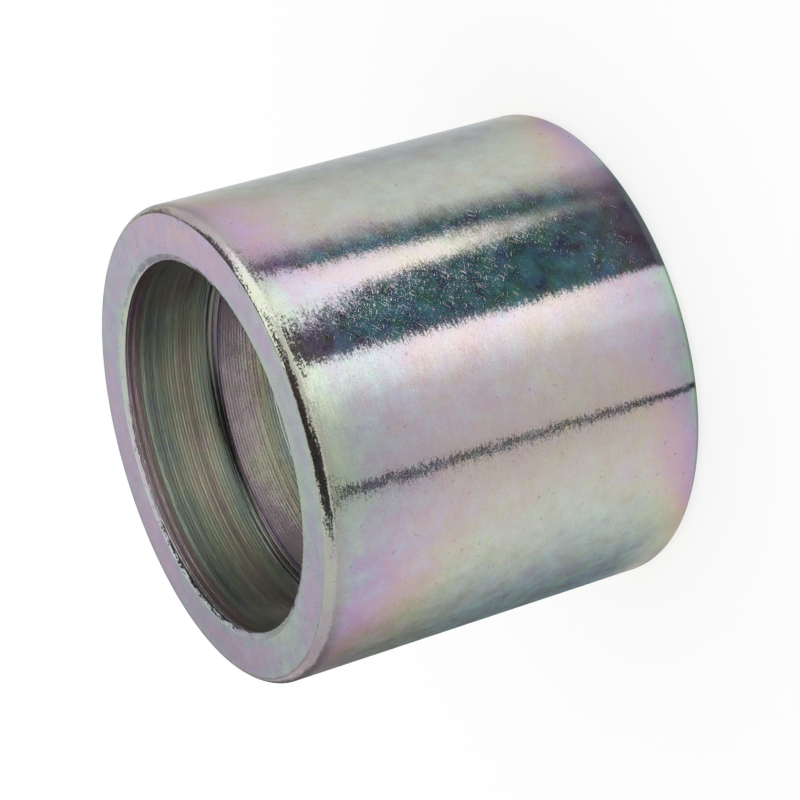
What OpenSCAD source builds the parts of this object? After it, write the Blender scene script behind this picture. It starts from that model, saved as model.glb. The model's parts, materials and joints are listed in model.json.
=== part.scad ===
// Crimp hose ferrule: one turned steel sleeve that is squeezed down over the end of a hose.
// +Z runs along the bore. The sleeve stands on its collar end and the hose enters from the top.

/* [Hose entry] */
// Outside diameter of the hose that goes in
hose_d = 22.3; // [16:0.1:32]
// Gap between the hose and the entry bore on each side, before crimping
hose_clearance = 0.5; // [0.2:0.05:1]
// Depth of the plain entry bore, measured from the hose end
entry_depth = 6.2; // [4:0.1:7]
// Round on the mouth of the entry bore
mouth_round = 0.5; // [0.2:0.05:0.8]

/* [Sleeve] */
// Wall thickness around the entry bore
wall_t = 3.35; // [2.6:0.05:5]
// Length of the sleeve from end to end
sleeve_l = 26; // [24:0.5:40]
// Round on the outer edge at the hose end
hose_end_round = 0.4; // [0.2:0.05:1]
// Round on the outer edge at the collar end
collar_end_round = 0.9; // [0.2:0.05:1.2]

/* [Gripping ribs] */
// Number of ribs between the entry bore and the collar
rib_count = 3; // [2:1:3]
// Height of the ribs, inwards from the wall
rib_h = 0.75; // [0.55:0.05:1]
// Share of each rib's pitch that is the groove behind it
groove_share = 0.31; // [0.25:0.01:0.45]
// Round on the edges of the ribs' crests
crest_round = 0.15; // [0.1:0.05:0.25]
// Fillet where the ribs meet the wall
root_round = 0.25; // [0.1:0.05:0.3]

/* [Locking collar] */
// Thickness of the collar, along the bore
collar_t = 3.4; // [2.5:0.1:4.5]
// Step inwards from the ribs' crests to the collar's bore
collar_step = 2; // [1:0.1:3.5]
// Chamfer on both edges of the collar's bore
collar_chamfer = 0.5; // [0.2:0.1:0.8]

/* [Hidden] */

entry_r = hose_d / 2 + hose_clearance;
outer_r = entry_r + wall_t;
crest_r = entry_r - rib_h;
collar_r = crest_r - collar_step;

// The ribs share the length between the collar and the entry bore, each with a groove below it
grip_l = sleeve_l - entry_depth - collar_t;
rib_pitch = grip_l / rib_count;
groove_w = rib_pitch * groove_share;
rib_w = rib_pitch - groove_w;

// How far shapes that join run into each other
overlap = 0.2;
$fn = 128;

// The sliver that rounds off an edge at the origin, with metal towards +X and +Y
module edge_sliver(r) {
    difference() {
        translate([-overlap, -overlap]) square(r + overlap);
        translate([r, r]) circle(r);
    }
}

// Plain wall of the sleeve, with its two outer edges and the mouth of the bore rounded
module wall_section() {
    difference() {
        translate([entry_r, 0]) square([wall_t, sleeve_l]);
        translate([outer_r, 0]) mirror([1, 0]) edge_sliver(collar_end_round);
        translate([outer_r, sleeve_l]) rotate(180) edge_sliver(hose_end_round);
        translate([entry_r, sleeve_l]) mirror([0, 1]) edge_sliver(mouth_round);
    }
}

// The fillet in an inner corner at the origin, with metal towards +X and -Y
module root_fillet() {
    difference() {
        translate([-root_round, -overlap]) square(root_round + overlap);
        translate([-root_round, root_round]) circle(root_round);
    }
}

// One rib: a flat crest with eased edges, and a fillet on each side where it meets the wall
module rib_section() {
    translate([crest_r, crest_round]) square([rib_h + overlap, rib_w - 2 * crest_round]);
    translate([crest_r + crest_round, 0]) square([rib_h - crest_round + overlap, rib_w]);
    for (z = [crest_round, rib_w - crest_round])
        translate([crest_r + crest_round, z]) circle(crest_round);
    translate([entry_r, rib_w]) root_fillet();
    translate([entry_r, 0]) mirror([0, 1]) root_fillet();
}

// Collar that turns in behind the shoulder of the hose insert
module collar_section() {
    polygon([
        [collar_r, collar_chamfer],
        [collar_r + collar_chamfer, 0],
        [entry_r + overlap, 0],
        [entry_r + overlap, collar_t],
        [collar_r + collar_chamfer, collar_t],
        [collar_r, collar_t - collar_chamfer]
    ]);
}

module ferrule() {
    color("#bfbbc2")
        rotate_extrude() {
            wall_section();
            collar_section();
            for (i = [0 : rib_count - 1])
                translate([0, collar_t + groove_w + i * rib_pitch]) rib_section();
        }
}

ferrule();
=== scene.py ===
# %% [markdown]
# # A crimp hose ferrule in zinc plate
# The object is one turned steel sleeve. A press squeezes it down over the end of a hydraulic hose,
# and the ribs inside it bite into the rubber. This lesson dresses the sleeve for a product picture:
# the form as one surface of revolution, the plating as one shader, and a small set of studio cards,
# because polished metal has no look of its own. What you see on it is what stands around it.

# %% Load the fixed frame
import json
import math

import bpy
import numpy as np
from mathutils import Matrix, Vector


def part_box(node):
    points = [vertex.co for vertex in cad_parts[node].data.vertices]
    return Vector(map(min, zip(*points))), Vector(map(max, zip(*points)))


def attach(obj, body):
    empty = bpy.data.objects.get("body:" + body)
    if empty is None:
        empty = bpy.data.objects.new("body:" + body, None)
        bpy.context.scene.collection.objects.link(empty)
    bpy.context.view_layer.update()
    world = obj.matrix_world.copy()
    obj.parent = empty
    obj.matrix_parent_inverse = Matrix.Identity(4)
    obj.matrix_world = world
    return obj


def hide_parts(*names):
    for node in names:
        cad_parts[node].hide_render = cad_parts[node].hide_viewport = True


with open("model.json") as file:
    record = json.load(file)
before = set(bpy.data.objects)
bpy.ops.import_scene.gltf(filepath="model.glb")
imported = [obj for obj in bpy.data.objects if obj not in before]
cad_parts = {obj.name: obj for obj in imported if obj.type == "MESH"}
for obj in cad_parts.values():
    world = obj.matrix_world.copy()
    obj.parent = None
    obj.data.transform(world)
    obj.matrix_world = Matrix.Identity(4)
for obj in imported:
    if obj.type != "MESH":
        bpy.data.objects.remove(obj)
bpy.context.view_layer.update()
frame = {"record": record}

MM = 0.001
scene = bpy.context.scene
low, high = (np.array(corner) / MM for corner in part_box("ferrule"))
OUTER_R = high[0]
LENGTH = high[2] - low[2]
print(f"ferrule: radius {OUTER_R:.2f} mm, length {LENGTH:.2f} mm")

# %% [markdown]
# ## The camera
# The picture is taken with a long lens from about twenty centimetres, with the sleeve's axis running
# to the lower left of the frame. The sleeve itself stands upright on the floor, so the camera is
# rolled instead of the part. An aim point, a distance, an elevation and a roll say it all, and
# they are easier to adjust than three Euler angles.

# %% Camera
EYE_ELEVATION = 25.62
EYE_ROLL = -106.4
EYE_DISTANCE = 206.2
EYE_AIM = np.array([-0.49, 0.0, 12.7])
LENS_MM = 149.2
SENSOR_MM = 36.0
CLIP_M = (0.01, 20.0)

tilt, roll = np.radians([EYE_ELEVATION, EYE_ROLL])
back = np.array([0.0, -np.cos(tilt), np.sin(tilt)])
level_right = np.array([1.0, 0.0, 0.0])
level_up = np.cross(back, level_right)
right = np.cos(roll) * level_right + np.sin(roll) * level_up
up = np.cross(back, right)
eye = EYE_AIM + EYE_DISTANCE * back

camera = bpy.data.objects.new("camera", bpy.data.cameras.new("camera"))
camera.data.lens = LENS_MM
camera.data.sensor_width = SENSOR_MM
camera.data.clip_start, camera.data.clip_end = CLIP_M
axes = Matrix([right, up, back]).transposed().to_4x4()
camera.matrix_world = Matrix.Translation(Vector(eye * MM)) @ axes
scene.collection.objects.link(camera)
scene.camera = camera
scene.view_settings.view_transform = "Standard"
print("camera at", np.round(eye, 1), "mm")

# %% [markdown]
# ## A mesh from a grid of points
# Every new piece here is a surface of two parameters: a grid of points. One helper turns such a grid
# into quads. Where a direction comes back to its start it is closed by wrapping the index, so there
# is no seam and nothing to merge.

# %% Grid to mesh
def grid_object(name, points, close_rows=False, close_columns=False):
    """Makes a quad mesh from points[row, column] in millimetres. The quad (i, j), (i+1, j), (i+1, j+1),
    (i, j+1) faces the side from which rows followed by columns turn anticlockwise."""
    rows, columns = points.shape[:2]
    i = np.arange(rows if close_rows else rows - 1)[:, None]
    j = np.arange(columns if close_columns else columns - 1)[None, :]
    next_i, next_j = (i + 1) % rows, (j + 1) % columns
    corners = [i * columns + j, next_i * columns + j, next_i * columns + next_j, i * columns + next_j]
    quads = np.stack(np.broadcast_arrays(*corners), axis=-1).reshape(-1, 4)
    mesh = bpy.data.meshes.new(name)
    mesh.vertices.add(rows * columns)
    mesh.vertices.foreach_set("co", (points * MM).astype(np.float32).ravel())
    mesh.loops.add(quads.size)
    mesh.loops.foreach_set("vertex_index", quads.astype(np.int32).ravel())
    mesh.polygons.add(len(quads))
    mesh.polygons.foreach_set("loop_start", np.arange(0, quads.size, 4, dtype=np.int32))
    mesh.polygons.foreach_set("use_smooth", np.ones(len(quads), dtype=bool))
    mesh.update(calc_edges=True)
    made = bpy.data.objects.new(name, mesh)
    scene.collection.objects.link(made)
    print(f"{name}: {len(quads)} quads")
    return made


# %% [markdown]
# ## The turned section
# On the lathe a tool follows one outline, so the section is drawn as one closed outline of straight
# runs, arcs and bevels, and carried round the axis. Every corner is a curve, as every real edge is,
# which also lets the surface normals be worked out exactly. The order of the outline is: out over the
# hose end, down the barrel, in under the collar end and up through the bore.

# %% Straight runs, arcs and bevels
def run(start, end, steps):
    """Evenly spaced points on a straight line, without its last point."""
    t = np.linspace(0.0, 1.0, steps, endpoint=False)[:, None]
    return (1 - t) * np.array(start) + t * np.array(end)


def arc(centre, radius, from_deg, to_deg, steps=5):
    """Points centre + radius * (cos a, sin a) for evenly spaced a, both ends included."""
    a = np.radians(np.linspace(from_deg, to_deg, steps))
    return np.array(centre) + radius * np.stack([np.cos(a), np.sin(a)], axis=1)


def bevel(start, end, turn, reach, steps):
    """A broken edge from start to end as a cubic curve that leaves and arrives along the two walls. The
    turn gives the directions the walls face in degrees, and reach how far each wall pulls, in mm. The
    steps crowd at both ends, where the curve bends most."""
    walls = [np.array([np.sin(np.radians(t)), -np.cos(np.radians(t))]) for t in turn]
    a, d = np.array(start), np.array(end)
    b, c = a + reach[0] * walls[0], d - reach[1] * walls[1]
    t = np.linspace(0.0, 1.0, steps)[:, None]
    t = t * t * (3.0 - 2.0 * t)
    return (1 - t) ** 3 * a + 3 * t * (1 - t) ** 2 * b + 3 * t * t * (1 - t) * c + t**3 * d


# %% Outside of the sleeve, in millimetres
mounts = {mount["name"]: mount for mount in frame["record"]["mounts"]}
ENTRY_R = mounts["entry_bore"]["dims"]["r_mm"]
CREST_R = mounts["grip_bore"]["dims"]["r_mm"]
COLLAR_R = mounts["collar_bore"]["dims"]["r_mm"]
MOUTH_WIDTH = 0.45
HOSE_END_BEVEL = 0.42
HOSE_END_ROLL = 0.7
HOSE_END_REACH = (0.06, 0.32)
COLLAR_END_ROUND = 0.9
COLLAR_T = 3.4
COLLAR_CHAMFER = 0.5

face_rim = (OUTER_R - HOSE_END_BEVEL, LENGTH)
barrel_top = (OUTER_R, LENGTH - HOSE_END_ROLL)
rear_r = OUTER_R - COLLAR_END_ROUND
collar_r = COLLAR_R + COLLAR_CHAMFER
segments = {
    "face": run((ENTRY_R + MOUTH_WIDTH, LENGTH), face_rim, steps=14),
    "front_edge": bevel(face_rim, barrel_top, turn=(90, 0), reach=HOSE_END_REACH, steps=16),
    "barrel": run(barrel_top, (OUTER_R, COLLAR_END_ROUND), steps=31)[1:],
    "rear_edge": arc((rear_r, COLLAR_END_ROUND), COLLAR_END_ROUND, 0, -90, steps=8),
    "collar_end": run((rear_r, 0), (collar_r, 0), steps=5)[1:],
    "collar": np.concatenate([
        arc((collar_r, COLLAR_CHAMFER), COLLAR_CHAMFER, -90, -180),
        arc((collar_r, COLLAR_T - COLLAR_CHAMFER), COLLAR_CHAMFER, 180, 90),
    ]),
}
print("outside:", {name: len(points) for name, points in segments.items()})

# %% [markdown]
# ## The bore
# A boring bar leaves a fine screw of feed marks, which is what makes a bore glitter in rings. Bump in
# the shader could draw them, but real scallops also catch the light at a grazing angle, so they are in
# the mesh where the mouth lets you see them. Behind the entry the ribs stand proud, with grooves
# between them for the rubber.

# %% Feed marks
FEED_PITCH = 0.21
FEED_DEPTH = 0.016
FEED_SHARE = (0.4, 1.6)
rng = np.random.default_rng(7)


def bored(radius, from_z, to_z, depth, steps=4):
    """A bore wall with feed marks: the tool's round nose leaves a row of shallow scallops,
    radius + depth * (1 - (2 u - 1)^2), where u runs from 0 to 1 along each turn of feed. No two turns
    cut quite alike, so each has its own share of the depth."""
    turns = max(1, round(abs(to_z - from_z) / FEED_PITCH))
    u = np.arange(turns * steps) / steps
    share = np.repeat(rng.uniform(*FEED_SHARE, turns), steps)
    scallop = share * (1.0 - (2.0 * (u % 1.0) - 1.0) ** 2)
    z = from_z + (to_z - from_z) * u / turns
    print(f"bore of radius {radius:.2f} mm: {turns} feed marks")
    return np.stack([radius + depth * scallop, z], axis=1)


# %% Ribs, entry and mouth, in millimetres
ENTRY_DEPTH = 6.2
MOUTH_DEPTH = 0.2
MOUTH_REACH = (0.06, 0.05)
CREST_FEED_DEPTH = 0.4 * FEED_DEPTH
RIB_COUNT = 3
GROOVE_SHARE = 0.31
CREST_ROUND = 0.15
ROOT_ROUND = 0.25

shoulder_z = LENGTH - ENTRY_DEPTH
rib_pitch = (shoulder_z - COLLAR_T) / RIB_COUNT
groove_w = rib_pitch * GROOVE_SHARE
root_r = ENTRY_R - ROOT_ROUND
crest_r = CREST_R + CREST_ROUND
ribs = [[[ENTRY_R, COLLAR_T]]]
for foot in COLLAR_T + groove_w + rib_pitch * np.arange(RIB_COUNT):
    top = foot + rib_pitch - groove_w
    crest_z = foot + CREST_ROUND, top - CREST_ROUND
    seen_from_mouth = top > shoulder_z - CREST_ROUND
    ribs.append(arc((root_r, foot - ROOT_ROUND), ROOT_ROUND, 0, 90))
    ribs.append(arc((crest_r, crest_z[0]), CREST_ROUND, 270, 180))
    if seen_from_mouth:
        ribs.append(bored(CREST_R, *crest_z, CREST_FEED_DEPTH)[1:])
    else:
        ribs.append(run((CREST_R, crest_z[0]), (CREST_R, crest_z[1]), steps=6)[1:])
    ribs.append(arc((crest_r, crest_z[1]), CREST_ROUND, 180, 90))
    ribs.append(arc((root_r, top + ROOT_ROUND), ROOT_ROUND, -90, 0))
segments["grip"] = np.concatenate(ribs)
mouth_foot = (ENTRY_R, LENGTH - MOUTH_DEPTH)
mouth_lip = (ENTRY_R + MOUTH_WIDTH, LENGTH)
segments["entry"] = bored(ENTRY_R, shoulder_z + ROOT_ROUND, mouth_foot[1], FEED_DEPTH)[1:]
segments["mouth"] = bevel(mouth_foot, mouth_lip, turn=(180, 90), reach=MOUTH_REACH, steps=12)[:-1]
outline = np.concatenate(list(segments.values()))
zone = np.repeat(list(segments), [len(points) for points in segments.values()])
print(f"outline: {len(outline)} points")

# %% [markdown]
# ## From outline to sleeve
# On the lathe the bar spins and the outline does the rest. A Screw modifier could spin a drawn edge in
# the same way, but with the points in arrays the angle and the depth of each one stay at hand for the
# plating later on. The normals come from the outline too, so that the small edges shade as true curves.

# %% Carry the outline round the axis
AROUND = 288
degrees = np.arange(AROUND) * 360.0 / AROUND
angle = np.radians(degrees)
along = np.roll(outline, -1, axis=0) - np.roll(outline, 1, axis=0)
along /= np.linalg.norm(along, axis=1, keepdims=True)
facing = np.stack([-along[:, 1], along[:, 0]], axis=1)


def turned(section):
    """Carries (radius, height) pairs round Z: (r cos a, r sin a, z) on a grid of pairs by angles."""
    r, z = section[:, :1], section[:, 1:]
    return np.stack([r * np.cos(angle), r * np.sin(angle), z + 0.0 * angle], axis=-1)


sleeve = grid_object("zinc_plated_ferrule", turned(outline), close_rows=True, close_columns=True)
sleeve.data.normals_split_custom_set_from_vertices(turned(facing).reshape(-1, 3))
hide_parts("ferrule")
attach(sleeve, "root")

# %% [markdown]
# ## Where the film is thick
# Clear passivation leaves a film a few hundred nanometres thick on the zinc. Light that bounces off
# its top and off its foot travels different ways, and the two meet again as pale pink, green or blue.
# A gradient of painted colours could copy that, but colours worked out from one thickness always follow
# each other in the order that nature has. The film grows thicker toward edges, where the plating
# current gathers. The extra way in nanometres is stored for each point of the mesh.

# %% Film on the barrel
# Stops are degrees round the axis and nanometres of extra way, and reaches are millimetres.
FILM_TURN = [(20, 900), (100, 1200), (170, 1000), (196, 990), (216, 930), (236, 1085), (262, 1192),
             (280, 1206), (314, 1070), (342, 860)]
FRONT_RISE = [(196, 270), (216, 550), (236, 530), (256, 470), (300, 470), (314, 390), (332, 520),
              (352, 300)]
REAR_RISE = [(196, 150), (216, 350), (256, 440), (278, 320), (332, 540), (352, 350)]
FRONT_REACH = 7.5
REAR_REACH = 3.1
depth = LENGTH - outline[:, 1]


def around(stops):
    """A value for each column of the mesh, from (degrees, value) stops that go once round the axis."""
    return np.interp(degrees, *np.transpose(stops), period=360.0)


def between(x, stops):
    """A value for each x, from (place, value) stops in rising order."""
    return np.interp(x, *np.transpose(stops))


front_rise = around(FRONT_RISE) * np.exp(-depth / FRONT_REACH)[:, None]
rear_rise = around(REAR_RISE) * np.exp((depth - LENGTH) / REAR_REACH)[:, None]
film = around(FILM_TURN) + front_rise + rear_rise
print(f"barrel film: {film.min():.0f} to {film.max():.0f} nm")

# %% Film on the face and in the bore
# The face has stops by degrees and by radius, the bore by depth from the mouth.
FACE_TURN = [(40, 1440), (85, 1345), (105, 1345), (140, 1430), (165, 1400), (198, 1480), (220, 1415),
             (238, 1490), (282, 1490), (320, 1325), (345, 1310)]
FACE_EDGE = [(11.9, 110), (12.3, 90), (12.8, 20), (13.6, 0), (14.2, 40), (14.7, 70)]
ENTRY_FILM = [(0.3, 1255), (1.05, 1235), (1.25, 1070), (1.9, 1060), (4.6, 1215), (5.2, 1100),
              (6.1, 1085), (6.3, 1375), (8.0, 1285), (8.8, 1200), (9.6, 1060), (26.0, 1200)]
on_face = np.isin(zone, ["face", "mouth"])
in_bore = np.isin(zone, ["entry", "grip", "collar"])
face_film = around(FACE_TURN) + between(outline[:, 0], FACE_EDGE)[:, None]
entry_film = between(depth, ENTRY_FILM)[:, None]
film = np.where(on_face[:, None], face_film, film)
film = np.where(in_bore[:, None], entry_film, film)
print(f"all film: {film.min():.0f} to {film.max():.0f} nm")

# %% [markdown]
# ## Layers that the material reads
# A mesh can carry named numbers and colours on its vertices, and a material can read them. That suits
# a turned part better than an image: the layers follow the outline exactly and need no unwrapping.

# %% Layer helpers
def add_layer(piece, name, values):
    """Stores one number, or three, for each vertex under a name that a material can read."""
    if values.ndim == 2:
        layer = piece.data.attributes.new(name, "FLOAT", "POINT")
        layer.data.foreach_set("value", values.astype(np.float32).ravel())
    else:
        layer = piece.data.color_attributes.new(name, "FLOAT_COLOR", "POINT")
        rgba = np.concatenate([values, np.ones_like(values[..., :1])], axis=-1)
        layer.data.foreach_set("color", rgba.astype(np.float32).ravel())
    print(f"{piece.name} {name}: {values.min():.2f} to {values.max():.2f}")


def linear(hex_colour):
    """The linear RGB of an sRGB hex colour."""
    c = np.array([int(hex_colour[k : k + 2], 16) for k in (1, 3, 5)]) / 255.0
    return np.where(c <= 0.04045, c / 12.92, ((c + 0.055) / 1.055) ** 2.4)


def blend(x, stops):
    """A linear colour for each x, between hex colours at given places."""
    places, colours = zip(*stops)
    rgb = np.array([linear(colour) for colour in colours])
    return np.stack([np.interp(x, places, rgb[:, k]) for k in range(3)], axis=-1)


# %% [markdown]
# ## The grey of the metal, with painted light and shade
# Each turn of the boring bar leaves a ring that is a shade lighter or darker than its neighbour. The grey
# also carries painted shade and light: darker in the corner behind the shoulder and toward the sides of the
# bore, lighter down the entry and most on the first rib, lighter or darker round the mouth, and darker on
# the broken edge of the hose end, most of all low down. One side of the face is a little darker.

# %% Metal colour, with painted light and shade
# Stops are degrees round the axis, or in the bore millimetres from the mouth, and shares of the grey.
ZINC = "#b8b1ac"
BORED_ZINC = "#b5b2ba"
# Painted light and shade down the bore: lighter all the way down and most on the first rib, darker in the
# corner behind the shoulder.
BORE_PAINTED_LIGHT_AND_SHADE = [(0.4, 1.12), (1.6, 1.18), (4.2, 1.62), (5.9, 1.55), (5.95, 0.3), (6.34, 0.35), (6.42, 1.75),
              (7.5, 2.55), (9.5, 1.3), (26.0, 1.2)]
# Painted shade: the bore is darker outside 45 to 135 degrees round the axis.
BORE_PAINTED_SHADE_TURN = [(15, 0.88), (45, 1.0), (135, 1.0), (170, 0.82)]
# Painted shade on the broken edge of the hose end, darkest low down, where it would mirror too much sky.
EDGE_PAINTED_SHADE = [(180, 0.56), (204, 0.56), (216, 0.74), (230, 0.88), (322, 1.0), (334, 0.75), (350, 0.8)]
# Painted light and shade round the mouth: lighter near 85 to 115 degrees, darker near 190.
MOUTH_PAINTED_LIGHT_AND_SHADE = [(10, 1.0), (55, 1.05), (85, 1.2), (115, 1.2), (150, 0.8), (190, 0.65), (230, 0.8)]
# One side of the face is a little darker, most at 150 degrees round the axis.
FACE_DARK_TURN = 150.0
FACE_DARK_SPREAD = 28.0
FACE_DARK_DEPTH = 0.14
RING_SPREAD = 0.12
RING_LIMITS = (0.7, 1.3)
RING_WAVES = (3, 9)
RING_WAVE_DEPTH = 0.08
RING_START = 6.3
BRIGHTEST = 0.97

ring = np.floor(depth / FEED_PITCH).astype(int)
ring_shade = np.clip(rng.normal(1.0, RING_SPREAD, ring.max() + 1), *RING_LIMITS)[ring][:, None]
ring_waves = rng.integers(*RING_WAVES, ring.max() + 1)[ring][:, None]
ring_wave = 1.0 + RING_WAVE_DEPTH * np.cos(angle * ring_waves + RING_START * ring_shade)
# The bore's painted light and shade, times the random tone of each ring.
bore_rings_and_painted_light = between(depth, BORE_PAINTED_LIGHT_AND_SHADE)[:, None] * ring_shade
bore_rings_and_painted_light = around(BORE_PAINTED_SHADE_TURN) * bore_rings_and_painted_light * ring_wave
face_dark = 1.0 - FACE_DARK_DEPTH * np.exp(-(((degrees - FACE_DARK_TURN) / FACE_DARK_SPREAD) ** 2))
# Painted light and shade go into the bore, mouth and front edge; the bore also has its random rings, and
# the face has its darker side.
shade = np.ones_like(film)
shade[in_bore] = bore_rings_and_painted_light[in_bore]
shade[zone == "face"] = face_dark
shade[zone == "mouth"] = around(MOUTH_PAINTED_LIGHT_AND_SHADE)
shade[zone == "front_edge"] = around(EDGE_PAINTED_SHADE)
bare = np.where(in_bore[:, None], linear(BORED_ZINC), linear(ZINC))
# The metal layer is the zinc grey with its painted light and shade.
add_layer(sleeve, "metal", np.clip(bare[:, None, :] * shade[..., None], 0.0, BRIGHTEST))

# %% [markdown]
# ## How smooth each zone is
# The barrel is the smoothest, the face and the bore show the tool, and the plating is uneven on the
# edges. One roughness could not show that, and a material for each zone would be nine graphs to keep
# alike. So the mesh carries the numbers, and one material reads them.

# %% Roughness, strength of the film colours and grain, by zone
FINISH = {
    "face": (0.25, 0.16, 0.1), "front_edge": (0.18, 0.09, 0.26), "barrel": (0.11, 0.08, 0.065),
    "rear_edge": (0.22, 0.24, 0.15), "collar_end": (0.3, 0.1, 0.15), "collar": (0.35, 0.1, 0.2),
    "grip": (0.22, 0.2, 0.1), "entry": (0.22, 0.2, 0.1), "mouth": (0.14, 0.12, 0.3),
}
END_TINT = 0.17
END_REACH = 3.1
LOW_TINT = [(190, 0.13), (226, 0.13), (246, 0.0), (350, 0.0)]
LOW_REACH = 7.0
GRAIN_TURN = [(180, 1.0), (301, 1.0), (309, 0.55), (350, 0.55)]

finish = np.array([FINISH[name] for name in zone])
end_tint = END_TINT * (np.exp(-depth / END_REACH) + np.exp((depth - LENGTH) / END_REACH))
low_tint = around(LOW_TINT) * np.exp(-depth / LOW_REACH)[:, None]
rough, tint, grain = (column[:, None] + 0.0 * film for column in finish.T)
on_barrel = (zone == "barrel")[:, None]
tint += np.where(on_barrel, end_tint[:, None] + low_tint, 0.0)
grain *= np.where(on_barrel, around(GRAIN_TURN), 1.0)
handled = on_barrel + 0.0 * film
finish_layers = {"film": film, "rough": rough, "tint": tint, "grain": grain, "handled": handled}
for name, values in finish_layers.items():
    add_layer(sleeve, name, values)

# %% [markdown]
# ## A flat map of the metal
# A scratch lies in the surface. A pattern that fills space, as the grain of a stone does, would show it
# cut across, as a dot or a smear. So the mesh also carries a flat map: millimetres round the sleeve and
# millimetres along the outline. It starts and ends at the back, where its seam is seen least.

# %% Millimetres round and along
MAP_START = 90.0

walked = np.concatenate([[0.0], np.cumsum(np.linalg.norm(np.diff(outline, axis=0), axis=1))])[:, None]
wrapped = OUTER_R * np.radians((degrees - MAP_START) % 360.0)
add_layer(sleeve, "flat", np.stack(np.broadcast_arrays(wrapped, walked, 0.0), axis=-1))

# %% [markdown]
# ## A haze in the film
# The film also scatters a little light of its own. On bright metal it is lost, but where the sleeve
# mirrors something dark you see it: violet at the hose end, teal along the barrel, olive low down.

# %% Haze colour
# Stops are millimetres from the hose end with colours, or degrees round the axis with shares.
HAZE = [(0.6, "#4c343a"), (2.5, "#443a4c"), (5.0, "#2a4c4e"), (22.0, "#274a4c"), (24.0, "#38353b")]
LOW_HAZE = [(0.0, "#4a4248"), (6.0, "#3a4236"), (10.0, "#2c4648"), (22.0, "#2a4a4c"), (24.0, "#44443c")]
DRY_HAZE = "#2e3032"
LOW_SIDE = [(180, 1.0), (216, 1.0), (234, 0.0), (350, 0.0), (359, 0.5)]
# Painted reflection colour: round 252 degrees, where the barrel mirrors the black line, the haze turns
# mostly from teal to plain grey.
TEAL_HAZE_TURN = [(200, 1.0), (233, 1.0), (249, 0.1), (255, 0.1), (271, 1.0), (318, 1.0), (335, 0.4), (360, 0.4)]
HAZE_SHARE = {"barrel": 1.0, "face": 0.5, "rear_edge": 0.5, "front_edge": 0.3}
LEAST_SHARE = 0.15

low_side = around(LOW_SIDE)[None, :, None]
teal_haze_share = around(TEAL_HAZE_TURN)[None, :, None]
wet_haze = (1.0 - low_side) * blend(depth, HAZE)[:, None] + low_side * blend(depth, LOW_HAZE)[:, None]
haze_share = np.array([HAZE_SHARE.get(name, LEAST_SHARE) for name in zone])[:, None, None]
add_layer(sleeve, "haze", haze_share * (teal_haze_share * wet_haze + (1.0 - teal_haze_share) * linear(DRY_HAZE)))

# %% [markdown]
# ## Adding nodes
# A shader is a graph, and building one in code is the same few lines over and over. So one function
# adds any node, sets it, links it and hands back the output that the next node needs. Pattern sizes
# are given in millimetres and turned into texture scales.

# %% Node helpers
def node(tree, kind, inputs=(), out=0, **settings):
    """Adds a shader node. Inputs map a socket's name to a value or to the output that feeds it, or list
    them in order, and settings are the node's properties. Returns the output called out."""
    made = tree.nodes.new("ShaderNode" + kind)
    for name, value in settings.items():
        setattr(made, name, value)
    for key, value in inputs.items() if isinstance(inputs, dict) else enumerate(inputs):
        if isinstance(value, bpy.types.NodeSocket):
            tree.links.new(value, made.inputs[key])
        else:
            made.inputs[key].default_value = value
    return made.outputs[out] if made.outputs else made


def empty_material(name):
    """A new material whose graph is still empty."""
    material = bpy.data.materials.new(name)
    material.use_nodes = True
    material.node_tree.nodes.clear()
    return material


def scale_for(size_mm):
    """The texture scale at which one cell of a pattern is size_mm wide, on coordinates in metres."""
    return 1.0 / (size_mm * MM)


# %% [markdown]
# ## Zinc plate under a clear film
# The metal is plain grey and mirrors its surroundings. Two things make it look plated: the faint
# rainbow of the film, which is a cosine of the extra way divided by each colour's wavelength, and the
# fine unevenness of the surface, which frays the edges of every mirrored band. The shader's own thin
# film could give the first, but here its strength is set zone by zone, so the cosine is built from nodes.

# %% Film colours
WAVELENGTHS = (610.0, 550.0, 465.0)
FRINGE = (1.0, 1.0, 0.55)
CLOUD_MM = 4.0
MOTTLE_MM = 1.3
SHIFT_NM = 260.0
MOTTLE_DETAIL = 4.0
MOTTLE_ROUGHNESS = 0.66
BLOTCH_GAIN = (1.2, 3.8, 3.8)
BLOTCH_BASE = (-0.1, -1.9, -1.9)
BLOTCH_COLOUR = (1.0, 2.0, 2.4)

# Electroplated zinc under clear passivate: a bright mirror, a little frosted, with faint pink and green.
plate = empty_material("zinc_plate_clear_passivate")
tree = plate.node_tree
place = node(tree, "TexCoord", out="Object")
layers = {name: node(tree, "Attribute", out="Fac", attribute_name=name) for name in finish_layers}
metal, haze = (node(tree, "Attribute", out="Color", attribute_name=name) for name in ("metal", "haze"))

# Broad and small clouds shift the film a little, as drying liquid does.
clouds = node(tree, "TexNoise", {"Vector": place, "Scale": scale_for(CLOUD_MM)})
mottle_in = {"Vector": place, "Scale": scale_for(MOTTLE_MM), "Detail": MOTTLE_DETAIL}
mottle = node(tree, "TexNoise", {**mottle_in, "Roughness": MOTTLE_ROUGHNESS})
mottle_colour = mottle.node.outputs["Color"]
both = node(tree, "Math", [clouds, mottle], operation="ADD")
shift = node(tree, "Math", [both, SHIFT_NM, -SHIFT_NM], operation="MULTIPLY_ADD")
way = node(tree, "Math", [layers["film"], shift], operation="ADD")
turns = node(tree, "VectorMath", [way, [math.tau / length for length in WAVELENGTHS]], operation="MULTIPLY")
waves = node(tree, "VectorMath", [turns], operation="COSINE")
fringe = node(tree, "VectorMath", [waves, FRINGE], operation="MULTIPLY")
rainbow = node(tree, "VectorMath", [fringe, layers["tint"], (1.0, 1.0, 1.0)], operation="MULTIPLY_ADD")
# The metal layer brings in the grey with its painted light and shade.
zinc = node(tree, "VectorMath", [rainbow, metal], operation="MULTIPLY")

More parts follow.
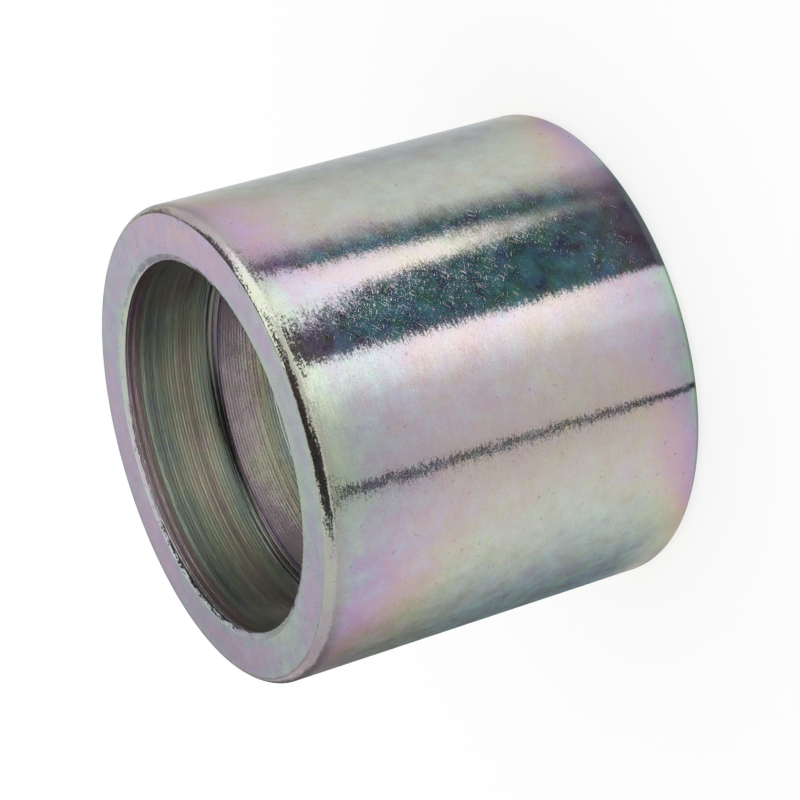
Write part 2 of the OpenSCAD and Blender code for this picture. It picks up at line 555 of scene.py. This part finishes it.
# The haze is blotchy: the same small clouds make it thick here and thin there.
blotch = node(tree, "VectorMath", [mottle, BLOTCH_GAIN, BLOTCH_BASE], operation="MULTIPLY_ADD")
blotch = node(tree, "VectorMath", [mottle_colour, BLOTCH_COLOUR, blotch], operation="MULTIPLY_ADD")
body = node(tree, "VectorMath", [haze, blotch], operation="MULTIPLY")
print("film colours:", len(tree.nodes), "nodes")

# %% [markdown]
# ## Handling marks
# Finished sleeves are tipped into boxes and knock against each other, which leaves specks and short
# scratches. They are finer than the quads of the mesh, so they are drawn in the material: noise that is
# drawn out to strokes on the flat map, of which only the peaks are kept. Real ones are hair-thin, and
# these are as coarse as the picture needs to show them.

# %% Specks and strokes
# Each kind has a direction in degrees, a length in millimetres and the height at which a peak shows.
STROKES = [(20, 0.45, 0.745), (80, 0.12, 0.715), (137, 1.1, 0.775)]
STROKE_W = 0.045
STROKE_FULL = 0.92
PATCHES = (0.1, 0.55)

flat = node(tree, "Attribute", out="Vector", attribute_name="flat")
marks = None
for turn, length, least in STROKES:
    size = (length, STROKE_W, 1.0)
    turn_in = {"Vector": flat, "Rotation": (0.0, 0.0, math.radians(turn)), "Scale": size}
    drawn = node(tree, "Mapping", turn_in, vector_type="TEXTURE")
    stroke_in = {"Vector": drawn, "Scale": 1.0, "Detail": 0.0}
    strokes = node(tree, "TexNoise", stroke_in, noise_dimensions="2D")
    peak = node(tree, "MapRange", {"Value": strokes, "From Min": least, "From Max": STROKE_FULL})
    marks = peak if marks is None else node(tree, "Math", [marks, peak], operation="MAXIMUM")
patch_in = {"Value": clouds, "From Min": PATCHES[0], "From Max": PATCHES[1], "To Max": layers["handled"]}
patch = node(tree, "MapRange", patch_in)
marks = node(tree, "Math", [marks, patch], operation="MULTIPLY")
print("handling marks:", len(STROKES), "kinds")

# %% [markdown]
# ## Grain
# Close up, plated steel is never flat: it has even grain, hairlines round the barrel and soft dents. A
# Bump node could tilt the normal, but it reads every pattern several times. Here the colours of the
# noise are taken as small tilts, of a degree or so, and added to the normal, which reads it once. A stroke
# tilts it more, so that it mirrors the sky while the metal beside it is dark.

# %% Tilted normals
GRAIN_MM = 0.12
HAIR_MM = (0.8, 0.8, 0.07)
MIDDLE = (0.5, 0.5, 0.5)
HAIR_SHARE = (0.8, 0.8, 0.8)
DENT_TILT = (0.05, 0.05, 0.15)
MARK_TILT = (0.08, 0.08, 0.32)

grit = node(tree, "TexNoise", {"Vector": place, "Scale": scale_for(GRAIN_MM), "Detail": 0.0}, "Color")
grit = node(tree, "VectorMath", [grit, MIDDLE], operation="SUBTRACT")
spread = node(tree, "Mapping", {"Vector": place, "Scale": [scale_for(size) for size in HAIR_MM]})
hairs = node(tree, "TexNoise", {"Vector": spread, "Scale": 1.0, "Detail": 0.0}, "Color")
hairs = node(tree, "VectorMath", [hairs, MIDDLE], operation="SUBTRACT")
fine = node(tree, "VectorMath", [hairs, HAIR_SHARE, grit], operation="MULTIPLY_ADD")
dents = node(tree, "VectorMath", [mottle_colour, MIDDLE], operation="SUBTRACT")
uneven = node(tree, "VectorMath", {0: fine, "Scale": layers["grain"]}, operation="SCALE")
uneven = node(tree, "VectorMath", [dents, DENT_TILT, uneven], operation="MULTIPLY_ADD")
uneven = node(tree, "VectorMath", [marks, MARK_TILT, uneven], operation="MULTIPLY_ADD")
normal = node(tree, "NewGeometry", out="Normal")
tilted = node(tree, "VectorMath", [normal, uneven], operation="ADD")
tilted = node(tree, "VectorMath", [tilted], operation="NORMALIZE")
print("with marks and grain:", len(tree.nodes), "nodes")

# %% [markdown]
# ## Putting the plate together
# The eye sees a mirror and, where that is dark, a faint milky body. So the shader is a metal with a
# weak matt one added to it. Small dark pits and a fine speckle keep the grey from looking sprayed on.

# %% Shaders of the plate
PIT_MM = 0.3
PIT_STARTS = 0.78
PIT_FULL = 0.84
PIT_SHADE = 0.75
SPECKLE = (0.18, 0.18, 0.18)
MARK_ROUGHNESS = 0.25

pores = node(tree, "TexNoise", {"Vector": place, "Scale": scale_for(PIT_MM), "Detail": 0.0})
pits_in = {"Value": pores, "From Min": PIT_STARTS, "From Max": PIT_FULL, "To Min": 1.0, "To Max": PIT_SHADE}
pits = node(tree, "MapRange", pits_in)
speckle = node(tree, "VectorMath", [fine, SPECKLE, pits], operation="MULTIPLY_ADD")
mirror = node(tree, "BsdfPrincipled", {
    "Base Color": node(tree, "VectorMath", [zinc, speckle], operation="MULTIPLY"),
    "Metallic": 1.0,
    "Roughness": node(tree, "Math", [marks, MARK_ROUGHNESS, layers["rough"]], operation="MULTIPLY_ADD"),
    "Normal": tilted,
})
scatter = node(tree, "BsdfDiffuse", {"Color": body})
node(tree, "OutputMaterial", {"Surface": node(tree, "AddShader", [mirror, scatter])})
sleeve.data.materials.append(plate)
print("zinc plate:", len(tree.nodes), "nodes")

# %% [markdown]
# ## The studio
# The floor is matt white and the whole sky is plain white, so the part sits in soft light with a
# faint shadow. The floor shows itself to the camera as nearly white, and to mirror rays as white, with
# no more light on the part than the sky gives.

# %% Floor and sky
FLOOR_RINGS = np.array([0.01, 60.0, 200.0, 3000.0])[:, None]
FLOOR_DROP = 0.02
FLOOR_STEP = 10
CAMERA_SHARE = 0.75
WHITE = (*linear("#ffffff"), 1.0)

floor_a = np.radians(np.arange(0, 360, FLOOR_STEP))[None, :]
floor_xy = [FLOOR_RINGS * np.cos(floor_a), FLOOR_RINGS * np.sin(floor_a)]
floor_points = np.stack([*floor_xy, 0.0 * floor_xy[0] - FLOOR_DROP], axis=-1)
floor = grid_object("floor", floor_points, close_columns=True)
# Matt white paper has no gloss, so the floor shows a soft shadow and nothing else.
paper = empty_material("matt_white_paper")
tree = paper.node_tree
rays = node(tree, "LightPath").node.outputs
mirrors = node(tree, "Math", [rays["Is Glossy Ray"], rays["Is Transmission Ray"]], operation="MAXIMUM")
shown = node(tree, "Math", [rays["Is Camera Ray"], CAMERA_SHARE, mirrors], operation="MULTIPLY_ADD")
matt = node(tree, "BsdfDiffuse", {"Color": WHITE})
lit = node(tree, "Emission", {"Color": WHITE, "Strength": 1.0})
node(tree, "OutputMaterial", {"Surface": node(tree, "MixShader", [shown, matt, lit])})
floor.data.materials.append(paper)

sky = bpy.data.worlds.new("white_sky")
sky.use_nodes = True
sky.node_tree.nodes["Background"].inputs["Color"].default_value = WHITE
sky.node_tree.nodes["Background"].inputs["Strength"].default_value = 1.0
scene.world = sky

# %% [markdown]
# ## Cards for the metal to mirror
# A photographer lays white and black card round polished metal and moves it until the stripes sit well.
# Seen from above, an upright barrel mirrors the floor around it: each stripe on the barrel is a wedge
# on the floor that points at the barrel. So one card lies on the floor. Its points are found by
# following the camera's rays off the barrel, so the card can be laid out in the barrel's own degrees
# and millimetres. Cards are hidden from the camera and throw no shadow: only mirror rays meet them.

# %% Card helpers
def smooth(x, edge, soft):
    """Rises from 0 to 1 as x passes edge, within soft on either side: 3 t^2 - 2 t^3."""
    t = np.clip((x - edge) / (2.0 * soft) + 0.5, 0.0, 1.0)
    return t * t * (3.0 - 2.0 * t)


def strip(x, left, right, soft):
    """Is 1 between left and right and 0 outside, with soft edges."""
    return smooth(x, left, soft) * (1.0 - smooth(x, right, soft))


def mirrored(a, z, height):
    """Where a ray from the camera lands at a height after it meets the barrel at angle a and height z.
    With N out of the barrel and V toward the camera, it leaves along 2 (N.V) N - V."""
    out = np.stack([np.cos(a), np.sin(a), 0.0 * a], axis=-1)
    spot = OUTER_R * out
    spot[..., 2] = z
    view = eye - spot
    view /= np.linalg.norm(view, axis=-1, keepdims=True)
    leave = 2.0 * np.sum(out * view, axis=-1, keepdims=True) * out - view
    reach = (height - z) / leave[..., 2]
    return spot + reach[..., None] * leave


def light_card(piece, glow):
    """Gives a card a glow from its own colour layer and hides it from all but mirror rays."""
    add_layer(piece, "glow", glow)
    # A lit card is an even glow with no surface to see: it only gives the metal something to mirror.
    paint = empty_material(f"{piece.name}_glow")
    tree = paint.node_tree
    colour = node(tree, "Attribute", out="Color", attribute_name="glow")
    node(tree, "OutputMaterial", {"Surface": node(tree, "Emission", {"Color": colour})})
    piece.data.materials.append(paint)
    piece.visible_camera = False
    piece.visible_diffuse = False
    piece.visible_shadow = False


# %% White and grey of the floor card
# Stops are degrees round the barrel and levels of white.
CARD_Z = 0.12
CARD_INNER_R = 14.5
CARD_INNER_Z = 0.04
PALE = [(181, 0.7), (187, 0.12), (200, 0.18), (210, 0.4), (220, 0.74), (230, 0.9), (240, 0.9), (254, 0.74),
        (265, 0.8), (270, 0.93), (278, 1.7), (300, 1.6), (309, 0.75), (315, 0.9), (325, 0.84), (337, 0.58),
        (359, 0.66)]
TURN_STEP = 0.25
HEIGHTS = (CARD_Z + 0.1, 90.0)
HEIGHT_STEPS = 60

turn_steps = np.arange(PALE[0][0], PALE[-1][0] + 0.01, TURN_STEP)
height_steps = np.geomspace(*HEIGHTS, HEIGHT_STEPS)
card_deg, card_z = np.meshgrid(turn_steps, height_steps, indexing="ij")
card_d = LENGTH - card_z
pale = between(card_deg, PALE)
# Greyer beside the flag toward the collar end, and low down by the hose end.
pale *= 1.0 - 0.3 * smooth(card_d, 20.0, 6.0) * strip(card_deg, 274.0, 290.0, 3.0)
pale *= 1.0 - 0.1 * (1.0 - smooth(card_d, 4.0, 2.0)) * strip(card_deg, 228.0, 268.0, 4.0)
# Paler at the collar end, on the side that turns away.
pale += 0.25 * smooth(card_d, 23.0, 2.0) * (1.0 - smooth(card_deg, 212.0, 6.0))
pale += 0.05 * smooth(card_d, 20.5, 3.0) * (1.0 - smooth(card_deg, 222.0, 6.0))
print(f"pale card: {pale.min():.2f} to {pale.max():.2f}")

# %% [markdown]
# ## The dark stripes
# A bright metal looks bright only beside something dark. One broad black flag makes the dark band along
# the barrel, with a pale wedge cut out of it that narrows toward the collar end, and a thin black line
# lies lower down. Separate cards would show their borders, so the stripes are drawn on the floor card.

# %% Black flag with a wedge cut out, and a thin black line
# Stops are millimetres from the hose end and degrees round the barrel.
FLAG = "#1a2023"
LINE = "#1c2226"
LINE_TURN = 251.8
RIM_GAP = "#7d8886"
RIM_GAP_STARTS = 25.4
FLAG_LOW_EDGE = 281.0
FAR_CARD_Z = 70.0

wedge_left = between(card_d, [(0, 289.0), (4, 293.0), (7, 296.0), (12, 296.8), (16, 298.0), (21, 300.0)])
wedge_right = between(card_d, [(0, 305.0), (9, 303.0), (21, 301.5)])
wedge_soft = between(card_d, [(0, 0.8), (9, 1.2), (21, 2.5)])
wedge_fade = between(card_d, [(12, 1.0), (17, 0.55), (21, 0.25), (26, 0.12)])
flag_edge = between(card_d, [(14, 309.0), (25, 307.5)])
flag_soft = between(card_d, [(0, 3.3), (19, 3.8), (25, 7.0)])
line_half = between(card_d, [(0, 1.5), (4, 1.1), (26, 0.75)])
in_flag = smooth(card_deg, FLAG_LOW_EDGE, 0.6) * (1.0 - smooth(card_deg, flag_edge, flag_soft))
in_flag *= 1.0 - 0.03 * smooth(card_d, 20.0, 3.0)
in_wedge = wedge_fade * strip(card_deg, wedge_left, wedge_right, wedge_soft)
in_line = strip(card_deg, LINE_TURN - line_half, LINE_TURN + line_half, 0.4)
print(f"black on the card: flag {in_flag.mean():.2f}, line {in_line.mean():.2f} of its stops")

# %% Colours of the card
# The flag's foot is greyer, as in the gap under the rim, and the far parts of the card fade to white.
glow = pale[..., None] + (in_flag * (1.0 - in_wedge))[..., None] * (linear(FLAG) - pale[..., None])
glow += (in_flag * smooth(card_d, RIM_GAP_STARTS, 0.25))[..., None] * (linear(RIM_GAP) - glow)
glow += smooth(card_z, FAR_CARD_Z, 15.0)[..., None] * (1.0 - glow)
glow += in_line[..., None] * (linear(LINE) - glow)
print(f"card glow: {glow.min():.2f} to {glow.max():.2f}")

# %% Lay the floor card
# Its inner border tucks in under the rounded collar end, where the rim mirrors the dark gap.
card_points = mirrored(np.radians(card_deg), card_z, CARD_Z)
inner = card_points[:, :1].copy()
inner[..., :2] *= CARD_INNER_R / np.linalg.norm(inner[..., :2], axis=-1, keepdims=True)
inner[..., 2] = CARD_INNER_Z
card = grid_object("floor_card", np.concatenate([inner, card_points], axis=1))
inner_glow = np.broadcast_to(linear(RIM_GAP), glow[:, :1].shape)
light_card(card, np.concatenate([inner_glow, glow], axis=1))

# %% [markdown]
# ## Panels above
# The flat end mirrors the wall behind the part, the broken edges mirror the ceiling and the bore
# mirrors both sides. Panels far off on a dome give each its tone: white boxes for the bright edges,
# black ones for the dark edges and a graded card behind for the face.

# %% Panel helper
PANEL_STEPS = (40, 20)


def sky_panel(name, azimuth, elevation, distance, glow):
    """A patch of a sphere round the part, between two azimuths and two elevations in degrees, where an
    elevation past 90 goes on over the top and down the other side."""
    a = np.radians(np.linspace(*azimuth, PANEL_STEPS[0]))
    e = np.radians(np.linspace(*elevation, PANEL_STEPS[1]))
    a, e = np.meshgrid(a, e, indexing="ij")
    ball = np.stack([np.cos(e) * np.cos(a), np.cos(e) * np.sin(a), np.sin(e)], axis=-1)
    panel = grid_object(name, distance * ball)
    light_card(panel, np.broadcast_to(glow, (*PANEL_STEPS, 3)))


# %% A graded card behind the part
# Its level falls by so much for each degree across, and its share rises for each degree up.
BACK_AZIMUTH = (70.0, 110.0)
BACK_ELEVATION = (8.0, 45.0)
BACK_DISTANCE = 420.0
BACK_LEVEL = 0.72
BACK_FALL = 0.018
BACK_RISE = 0.035
BACK_LIMITS = (0.4, 1.1)
BACK_TINT = np.array([1.0, 1.04, 1.12])

sweep = np.linspace(*BACK_AZIMUTH, PANEL_STEPS[0])[:, None] - np.mean(BACK_AZIMUTH)
rise = np.linspace(*BACK_ELEVATION, PANEL_STEPS[1])[None, :] - EYE_ELEVATION
back_glow = np.clip((BACK_LEVEL - BACK_FALL * sweep) * (1.0 + BACK_RISE * rise), *BACK_LIMITS)
sky_panel("back_card", BACK_AZIMUTH, BACK_ELEVATION, BACK_DISTANCE, back_glow[..., None] * BACK_TINT)

# %% White boxes and black panels
# Azimuths and elevations in degrees, the distance in millimetres and the level of white.
PANELS = (
    ("side_panel", (356.0, 410.0), (28.0, 86.0), 420.0, 0.09),
    ("low_panel", (408.0, 430.0), (2.0, 50.0), 420.0, 0.2),
    ("lip_panel", (410.0, 432.0), (37.0, 70.0), 410.0, 0.02),
    ("front_panel", (216.0, 266.0), (16.0, 103.0), 420.0, 0.02),
    ("upper_panel", (266.0, 320.0), (36.0, 103.0), 420.0, 0.02),
    ("high_box", (320.0, 356.0), (36.0, 88.0), 400.0, 1.8),
    ("soft_box", (317.0, 356.0), (4.0, 36.0), 400.0, 1.8),
    ("low_strip", (276.0, 352.0), (-4.0, 4.0), 400.0, 1.6),
)
for panel in PANELS:
    sky_panel(*panel)
